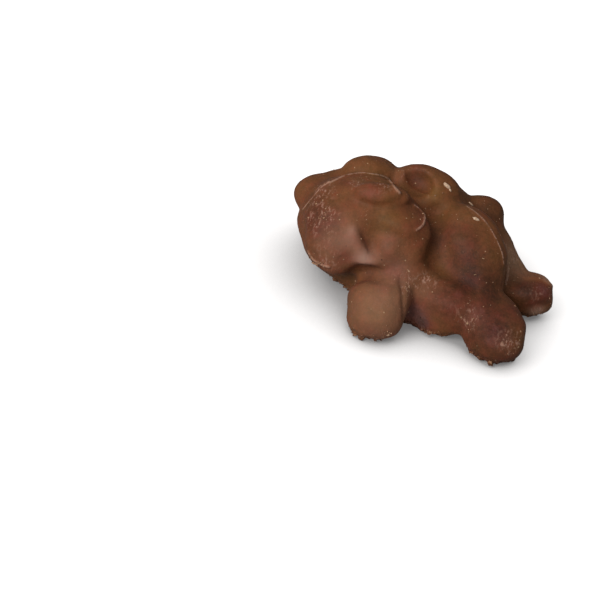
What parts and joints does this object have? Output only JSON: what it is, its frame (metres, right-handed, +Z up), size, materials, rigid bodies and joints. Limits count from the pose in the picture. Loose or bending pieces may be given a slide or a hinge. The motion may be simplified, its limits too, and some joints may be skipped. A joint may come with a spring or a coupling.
{
  "type": "chocolate peanut cluster",
  "caption": "Low uneven heap of whole peanuts set in milk chocolate, with rounded peanut ends standing out like legs round a flat underside",
  "frame": {"origin": "middle of the bounding box in X and Y, on the flat underside", "axes": "+X along the heap's longest side, to the right of someone facing its front; -Y towards that viewer; +Z up, away from the flat underside"},
  "size_m": [0.0524, 0.0428, 0.0239],
  "materials": {
    "milk_chocolate": "satin milk chocolate, hand dipped and set, lightly scuffed with pale sugar bloom"
  },
  "bodies": {
    "root": {"peanut_cluster": "milk_chocolate"}
  },
  "joints": []
}
